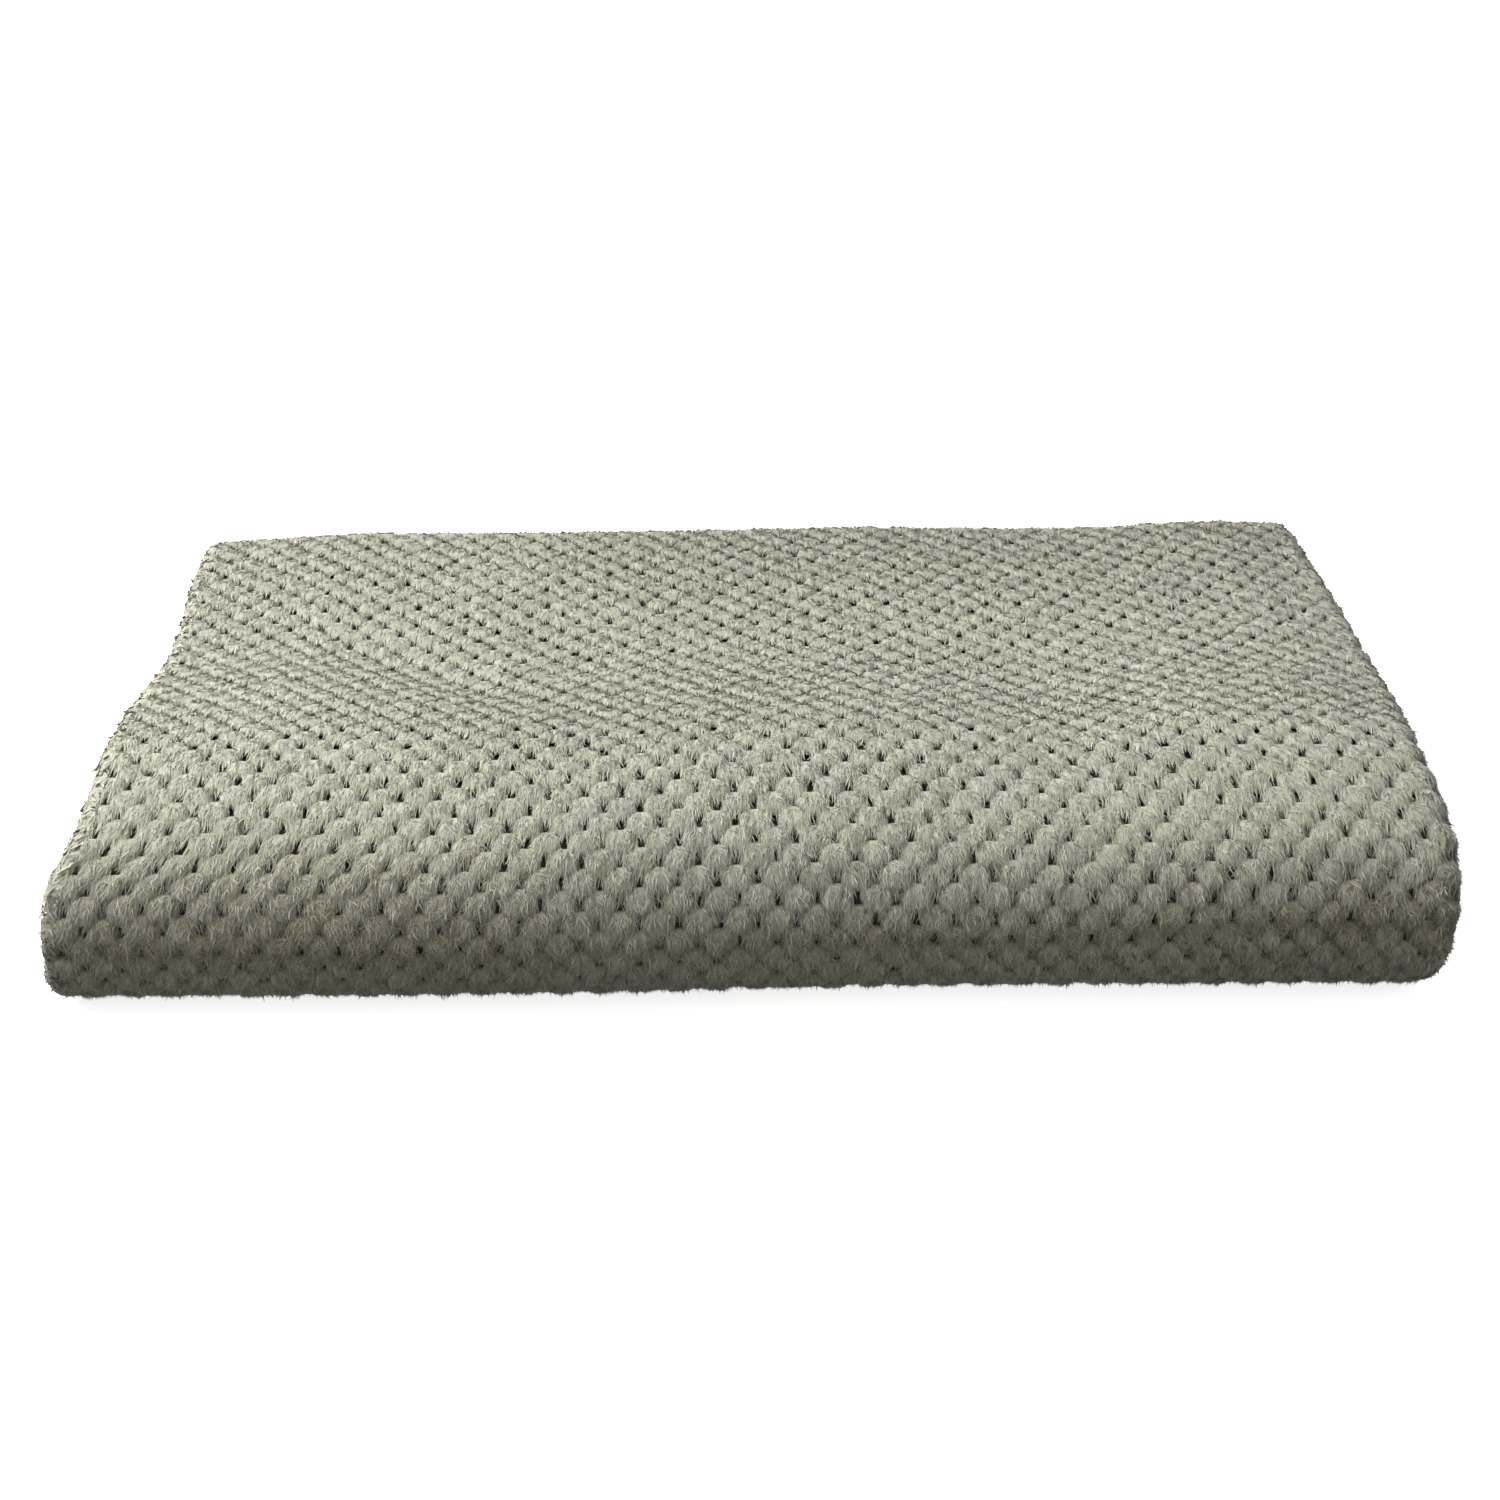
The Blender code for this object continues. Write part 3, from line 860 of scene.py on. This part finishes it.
def make_stitches(u, s, along_u, along_s, lift, sizes):
    """Stitches of a seam, each a short thread that dips at both ends by the square of the distance from
    its middle. It has a ring of six points at six places, and its radius is the square root of one less
    the fourth power of that distance."""
    around, places = 6, np.linspace(-1, 1, 6)
    angle = ring_angles(around)
    thin = np.sqrt(np.clip(1 - (places * 0.985) ** 4, 0, 1))
    run = sizes.stitch_length * 0.46 * places
    rise = sizes.thread_width * 0.9 * (1 - places**2) - sizes.thread_width * 0.4
    radius = sizes.thread_width / 2
    off_side = radius * thin[:, None] * np.cos(angle)
    off_up = radius * thin[:, None] * np.sin(angle)
    centre_u = u[:, None, None] + along_u * run[None, :, None] + along_s * off_side[None]
    centre_s = s[:, None, None] + along_s * run[None, :, None] + along_u * off_side[None]
    high = lift + rise[None, :, None] + off_up[None] + 0 * centre_u
    return *cloth_grid(centre_u, centre_s, high), tube_faces(len(u), len(places), around)


# What a user can change -----------------------------------------------------------------------------


def length(name, description, default):
    """A size that a user can change, in metres."""
    return bpy.props.FloatProperty(
        name=name, description=description, default=default, min=0.0, unit="LENGTH", precision=5
    )


def colour(name, description, default):
    """A colour that a user can change."""
    return bpy.props.FloatVectorProperty(
        name=name, description=description, default=default, min=0.0, max=1.0, subtype="COLOR", size=3
    )


class ThrowSizes(bpy.types.PropertyGroup):
    """Sizes of the pile, hems, seams and label."""

    tuft_pitch: length("Tuft Pitch", "From one tuft to the next in a row", 0.0116)
    row_spacing: length("Row Spacing", "From one row of tufts to the next", 0.0071)
    tuft_width: length("Tuft Width", "Width of a tuft across the cloth", 0.0102)
    tuft_length: length("Tuft Length", "Length of a tuft along the cloth", 0.0106)
    tuft_height: length("Tuft Height", "Height of a tuft above the ground", 0.0040)
    fibre_length: length("Fibre Length", "Usual length of a fibre that shows", 0.0034)
    fibre_width: length("Fibre Width", "Width of a fibre at its root", 0.00036)
    hem_width: length("Hem Width", "Width of the turned edge", 0.012)
    thread_width: length("Thread Width", "Thickness of the sewing thread", 0.0006)
    stitch_length: length("Stitch Length", "From one stitch to the next", 0.0032)
    label_width: length("Label Width", "Width of the care label", 0.032)
    label_length: length("Label Length", "Length of the care label", 0.045)


class ThrowColours(bpy.types.PropertyGroup):
    """Colours of the materials."""

    pile: colour("Pile", "Colour of the pile", (0.468, 0.478, 0.396))
    # The roots' own browner colour, darkened further as painted shade deep in the pile
    root: colour("Pile Root", "Colour deep in the pile", (0.185, 0.150, 0.102))
    ground: colour("Ground", "Colour of the knitted ground", (0.140, 0.116, 0.078))
    hem: colour("Hem", "Colour of the pressed hems", (0.46, 0.45, 0.37))
    thread: colour("Thread", "Colour of the sewing thread", (0.52, 0.51, 0.43))
    label: colour("Label", "Colour of the label tape", (0.82, 0.81, 0.78))
    floor: colour("Floor", "Colour of the floor", (0.86, 0.86, 0.855))


FIELDS = {}
LAID = {"cloths": {}, "pile": {part: [] for part in PARTS}, "trim": {part: [] for part in PARTS}}
PANELS = {
    "lower": ("bottom", "lower_back", "lower_inner"),
    "low_fold": ("front",),
    "high_fold": ("front",),
    "upper": ("top", "upper_back", "upper_inner"),
}
EDGE_NODES = {"lower": "lower", "low_fold": "front", "high_fold": "front", "upper": "upper"}
PLY_PIECES = ("centre_ply", "left_fold", "left_ply", "right_fold", "right_ply")


class THROW_OT_cloth(bpy.types.Operator):
    """Make the knitted ground in four parts that meet edge to edge"""

    bl_idname = "throw.cloth"
    bl_label = "Cloth"

    def execute(self, context):
        material = ground_material(context.scene.throw_colours)
        for part, panels in PANELS.items():
            piece = make_cloth(part, material)
            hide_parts(*[f"{panel}_{ply}" for panel in panels for ply in PLY_PIECES])
            LAID["cloths"][part] = piece
        return {"FINISHED"}


class THROW_OT_tufts(bpy.types.Operator):
    """Make the raised tufts of the pile"""

    bl_idname = "throw.tufts"
    bl_label = "Tufts"

    def execute(self, context):
        material = tuft_material(context.scene.throw_colours)
        FIELDS.update(lay_tufts(context.scene.throw_sizes))
        for part, field in FIELDS.items():
            groups = max(1, math.ceil(len(field.u) * TUFT_TRIANGLES / PIECE_TRIANGLES))
            order = np.argsort(field.s, kind="stable")
            for number, keep in enumerate(np.array_split(order, groups)):
                piece = make_tufts(f"{part}_tufts_{number + 1}", field.pick(keep), material)
                LAID["pile"][part].append(piece)
        return {"FINISHED"}


class THROW_OT_fibres(bpy.types.Operator):
    """Make the loose fibres over the tufts"""

    bl_idname = "throw.fibres"
    bl_label = "Fibres"

    def execute(self, context):
        sizes = context.scene.throw_sizes
        material = fibre_material(context.scene.throw_colours)
        for number, (part, field) in enumerate(FIELDS.items()):
            draw = np.random.default_rng(500 + number)
            for kind, keep, per_tuft in (
                ("open", field.open > 0.5, FREE_FIBRES),
                ("pressed", field.open <= 0.5, PRESSED_FIBRES),
            ):
                chosen = field.pick(np.flatnonzero(keep))
                groups = max(1, math.ceil(len(chosen.u) * per_tuft / PIECE_TRIANGLES))
                order = np.argsort(chosen.s, kind="stable")
                for index, some in enumerate(np.array_split(order, groups)):
                    if len(some):
                        name = f"{part}_{kind}_fibres_{index + 1}"
                        piece = make_fibres(name, chosen.pick(some), per_tuft, sizes, material, draw)
                        LAID["pile"][part].append(piece)
        return {"FINISHED"}


class THROW_OT_hems(bpy.types.Operator):
    """Make the turned hems along all four edges"""

    bl_idname = "throw.hems"
    bl_label = "Hems"

    def execute(self, context):
        sizes = context.scene.throw_sizes
        material = hem_material(context.scene.throw_colours)
        for part, (low, high) in PARTS.items():
            edges = ((0.0, sizes.hem_width), (CLOTH_WIDTH - sizes.hem_width, CLOTH_WIDTH))
            pair = [make_band(*edge, low, high, HEM_THICKNESS) for edge in edges]
            piece = make_trim(f"{part}_long_hems", part, join_parts(pair), material)
            half = EDGE_NODES[part]
            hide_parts(f"{half}_left_ply_hem", f"{half}_right_ply_hem")
        for part, (low, high) in {
            "lower": (0.0, sizes.hem_width),
            "upper": (CLOTH_LENGTH - sizes.hem_width, CLOTH_LENGTH),
        }.items():
            thick = HEM_THICKNESS * 1.03
            band = make_band(0.001, CLOTH_WIDTH - 0.001, low, high, thick, False)
            piece = make_trim(f"{part}_end_hem", part, band, material)
            plies = ("centre_ply", "left_ply", "right_ply")
            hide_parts(*[f"{part}_{ply}_end_hem" for ply in plies])
        return {"FINISHED"}


class THROW_OT_seams(bpy.types.Operator):
    """Make the stitches that hold the hems"""

    bl_idname = "throw.seams"
    bl_label = "Seams"

    def execute(self, context):
        sizes = context.scene.throw_sizes
        material = thread_material(context.scene.throw_colours)
        top = HEM_LIFT + HEM_THICKNESS / 2
        inset = sizes.hem_width * 0.55
        for part, (low, high) in PARTS.items():
            s = np.arange(low + sizes.stitch_length / 2, high, sizes.stitch_length)
            rows = [
                make_stitches(np.full_like(s, middle), s, 0, 1, top, sizes)
                for middle in (inset, CLOTH_WIDTH - inset)
            ]
            piece = make_trim(f"{part}_long_seams", part, join_parts(rows), material)
            half = EDGE_NODES[part]
            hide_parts(f"{half}_left_ply_seam", f"{half}_right_ply_seam")
        for part, middle in {"lower": inset, "upper": CLOTH_LENGTH - inset}.items():
            u = np.arange(0.008, CLOTH_WIDTH - 0.008, sizes.stitch_length)
            row = make_stitches(u, np.full_like(u, middle), 1, 0, top, sizes)
            piece = make_trim(f"{part}_end_seam_stitches", part, row, material)
            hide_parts(f"{part}_end_seam")
        return {"FINISHED"}


class THROW_OT_label(bpy.types.Operator):
    """Make the blank care label"""

    bl_idname = "throw.label"
    bl_label = "Care Label"

    def execute(self, context):
        colours = context.scene.throw_colours
        low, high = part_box("care_label")
        width = np.linspace(low.x, high.x, 13)
        depth = np.linspace(low.y - 0.002, high.y, 19)
        x, y = np.meshgrid(width, depth)
        share = (y - low.y) / (high.y - low.y)
        z = (low.z + high.z) / 2 + 0.0003 * np.sin(9 * share) * share
        points = np.stack(settle(x, y, z), axis=-1).reshape(-1, 3)
        uv = np.stack([x, y], axis=-1).reshape(-1, 2)
        faces = grid_faces(len(depth), len(width))
        label = make_mesh("care_label_tape", points, faces[:, ::-1], label_material(colours), uv)
        wall = label.modifiers.new("thickness", "SOLIDIFY")
        wall.thickness = 0.0003
        wall.offset = 0.0
        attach(label, "lower_half")
        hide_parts("care_label")
        return {"FINISHED"}


class THROW_OT_label_thread(bpy.types.Operator):
    """Make the thread that holds the care label"""

    bl_idname = "throw.label_thread"
    bl_label = "Label Thread"

    def execute(self, context):
        low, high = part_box("care_label_thread")
        x = np.arange(low.x + 0.001, high.x, 0.0022)
        around, places = 6, np.linspace(-1, 1, 5)
        angle = ring_angles(around)
        thin = np.sqrt(np.clip(1 - (places * 0.98) ** 4, 0, 1))[:, None]
        run = x[:, None, None] + 0.0009 * places[None, :, None] + 0 * angle
        y = (low.y + high.y) / 2 + 0.0003 * thin * np.cos(angle) + 0 * run
        z = high.z + 0.0003 * thin * np.sin(angle) + 0 * run
        points = np.stack(settle(run, y, z), axis=-1).reshape(-1, 3)
        uv = np.stack([run, y], axis=-1).reshape(-1, 2)
        faces = tube_faces(len(x), len(places), around)
        material = thread_material(context.scene.throw_colours)
        piece = make_mesh("care_label_stitches", points, faces, material, uv)
        outward(piece)
        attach(piece, "lower_half")
        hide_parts("care_label_thread")
        return {"FINISHED"}


class THROW_OT_declare(bpy.types.Operator):
    """Do nothing; the sizes the cloth was cut to are not said here"""

    bl_idname = "throw.declare"
    bl_label = "Cut Sizes"

    def execute(self, context):
        return {"FINISHED"}


class THROW_OT_stage(bpy.types.Operator):
    """Make the floor, the lights and the camera"""

    bl_idname = "throw.stage"
    bl_label = "Stage"

    def execute(self, context):
        colours = context.scene.throw_colours
        radius = np.array(FLOOR_RINGS)
        angle = ring_angles(48)
        far, turn = np.meshgrid(radius, angle, indexing="ij")
        points = np.stack([far * np.cos(turn), far * np.sin(turn), 0 * far - 0.0002], axis=-1)
        faces = grid_faces(len(radius), len(angle), close=True)
        floor = make_mesh("floor", points.reshape(-1, 3), faces, floor_material(colours))
        floor.visible_diffuse = False
        world = bpy.data.worlds.new("studio")
        world.use_nodes = True
        light_sky(world.node_tree)
        context.scene.world = world
        lamp = bpy.data.lights.new("softbox", "AREA")
        lamp.shape = "RECTANGLE"
        lamp.size, lamp.size_y = SOFTBOX_SIZE
        lamp.energy = SOFTBOX_POWER
        box = bpy.data.objects.new("softbox", lamp)
        context.scene.collection.objects.link(box)
        box.location = SOFTBOX_PLACE
        box.rotation_euler = aim_angles(-np.array(box.location))
        camera = bpy.data.cameras.new("camera")
        camera.sensor_width = SENSOR_WIDTH
        camera.lens = LENS
        holder = bpy.data.objects.new("camera", camera)
        context.scene.collection.objects.link(holder)
        holder.location = CAMERA_PLACE
        tilt = Matrix.Rotation(CAMERA_PITCH, 4, "X")
        roll = Matrix.Rotation(CAMERA_ROLL, 4, "Z")
        holder.rotation_euler = (tilt @ roll).to_euler()
        context.scene.camera = holder
        context.scene.view_settings.view_transform = "Standard"
        return {"FINISHED"}


def light_sky(tree):
    """White seen straight on; as light, even above the horizon and dim below it."""
    nodes, links = tree.nodes, tree.links
    background = nodes["Background"]
    place = add(nodes, "ShaderNodeTexCoord")
    parts = add(nodes, "ShaderNodeSeparateXYZ")
    links.new(place.outputs["Generated"], parts.inputs["Vector"])
    above = add(nodes, "ShaderNodeMapRange", in_1=-0.15, in_2=0.25, in_3=0.09, in_4=0.68)
    links.new(parts.outputs["Z"], above.inputs["Value"])
    path = add(nodes, "ShaderNodeLightPath")
    direct = path.outputs["Is Camera Ray"]
    seen = mix(nodes, links, "MIX", direct, above.outputs["Result"], (1.0, 1.0, 1.0))
    links.new(seen, background.inputs["Color"])


def aim_angles(aim):
    """The turn that points a light's or camera's -Z along aim: pitch, none, and heading."""
    flat = math.hypot(aim[0], aim[1])
    return (math.atan2(flat, -aim[2]), 0.0, math.atan2(-aim[0], aim[1]))


OPERATORS = (
    THROW_OT_cloth,
    THROW_OT_tufts,
    THROW_OT_fibres,
    THROW_OT_hems,
    THROW_OT_seams,
    THROW_OT_label,
    THROW_OT_label_thread,
    THROW_OT_declare,
    THROW_OT_stage,
)


class THROW_PT_sidebar(bpy.types.Panel):
    """The throw's sizes, colours and pieces"""

    bl_idname = "THROW_PT_sidebar"
    bl_label = "Folded Throw"
    bl_space_type = "VIEW_3D"
    bl_region_type = "UI"
    bl_category = "Throw"

    def draw(self, context):
        for group in (context.scene.throw_sizes, context.scene.throw_colours):
            box = self.layout.box()
            for name in group.__annotations__:
                box.prop(group, name)
        for operator in OPERATORS:
            self.layout.operator(operator.bl_idname)


CLASSES = (ThrowSizes, ThrowColours, *OPERATORS, THROW_PT_sidebar)


def register():
    for made in CLASSES:
        bpy.utils.register_class(made)
    bpy.types.Scene.throw_sizes = bpy.props.PointerProperty(type=ThrowSizes)
    bpy.types.Scene.throw_colours = bpy.props.PointerProperty(type=ThrowColours)


def unregister():
    del bpy.types.Scene.throw_colours
    del bpy.types.Scene.throw_sizes
    for made in reversed(CLASSES):
        bpy.utils.unregister_class(made)


def main():
    register()
    bpy.ops.throw.cloth()
    bpy.ops.throw.tufts()
    bpy.ops.throw.fibres()
    bpy.ops.throw.hems()
    bpy.ops.throw.seams()
    bpy.ops.throw.label()
    bpy.ops.throw.label_thread()
    bpy.ops.throw.declare()
    bpy.ops.throw.stage()


if __name__ == "__main__":
    main()
